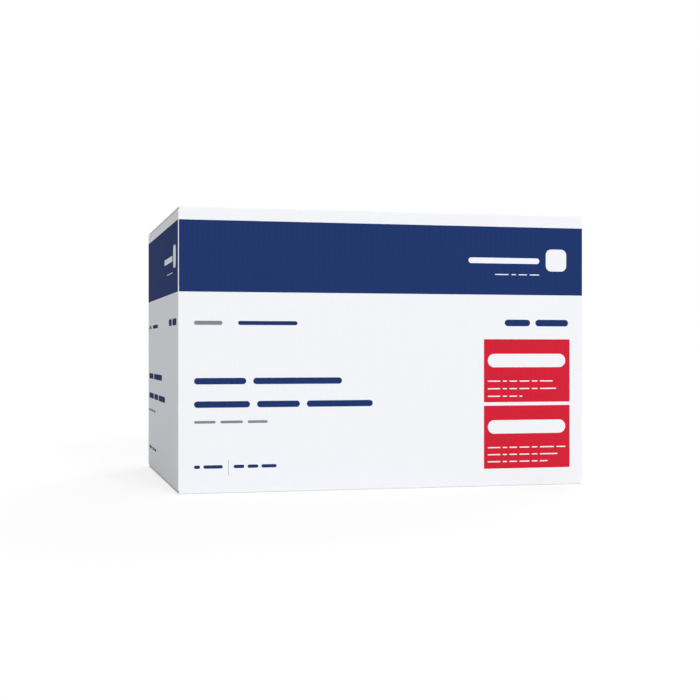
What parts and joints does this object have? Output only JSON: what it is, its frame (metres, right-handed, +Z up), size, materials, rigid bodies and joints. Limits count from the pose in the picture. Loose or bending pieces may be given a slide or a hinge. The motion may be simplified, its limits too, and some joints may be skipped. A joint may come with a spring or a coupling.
{
  "type": "corrugated shipping carton",
  "caption": "Sealed white corrugated shipping carton with glued lap flaps, a navy band printed round its walls and red fields printed on its front.",
  "frame": {"origin": "centre of the underside, on the surface that the carton stands on", "axes": "+X along the length, to the right of someone facing the printed front; -Y out of the printed front; +Z up"},
  "size_m": [0.5, 0.374, 0.331],
  "materials": {
    "white_board": "coated white liner, matt",
    "raw_board": "uncoated, cut",
    "navy_ink": "printed, satin",
    "red_ink": "printed, satin",
    "grey_ink": "printed, satin"
  },
  "bodies": {
    "root": {"carton": "white_board"}
  },
  "joints": []
}
